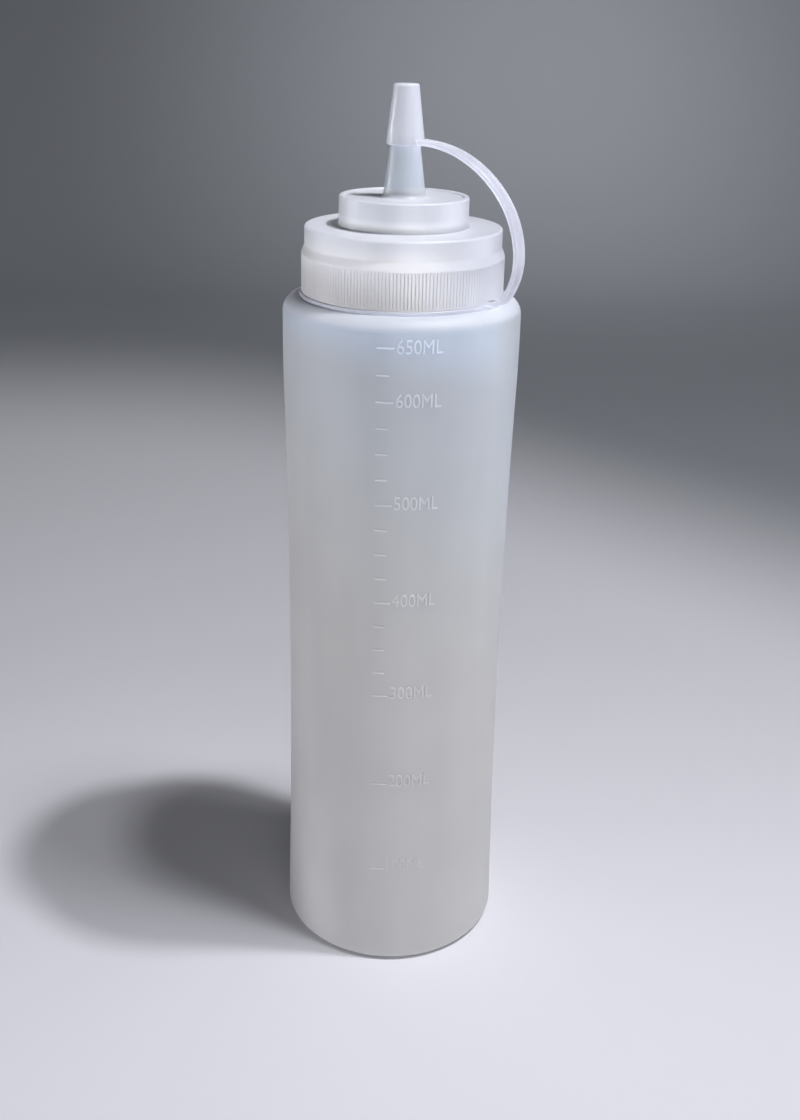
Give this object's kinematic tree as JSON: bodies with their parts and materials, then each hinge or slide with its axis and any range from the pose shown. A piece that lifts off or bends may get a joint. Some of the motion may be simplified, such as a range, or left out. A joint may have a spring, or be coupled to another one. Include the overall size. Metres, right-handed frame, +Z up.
{
  "type": "squeeze bottle",
  "caption": "Tall round translucent squeeze bottle with a graduated side, a two-tier screw cap with a tapered nozzle, and a tip cap tethered by a curved strap.",
  "frame": {"origin": "on the bottle's axis, in the plane that it stands on", "axes": "+Z up along the bottle's axis; -Y is the side with the graduation; the tether strap stands out between +X and -Y"},
  "size_m": [0.0692, 0.0694, 0.267],
  "materials": {
    "frosted_body": "translucent natural low-density polyethylene, fine frosted surface",
    "milky_cap": "translucent natural polyethylene, injection moulded, satin",
    "milky_tether": "translucent natural polyethylene, injection moulded, satin"
  },
  "bodies": {
    "root": {"bottle": "frosted_body", "nozzle_cap": "milky_cap", "tip_cap": "milky_tether"}
  },
  "joints": []
}
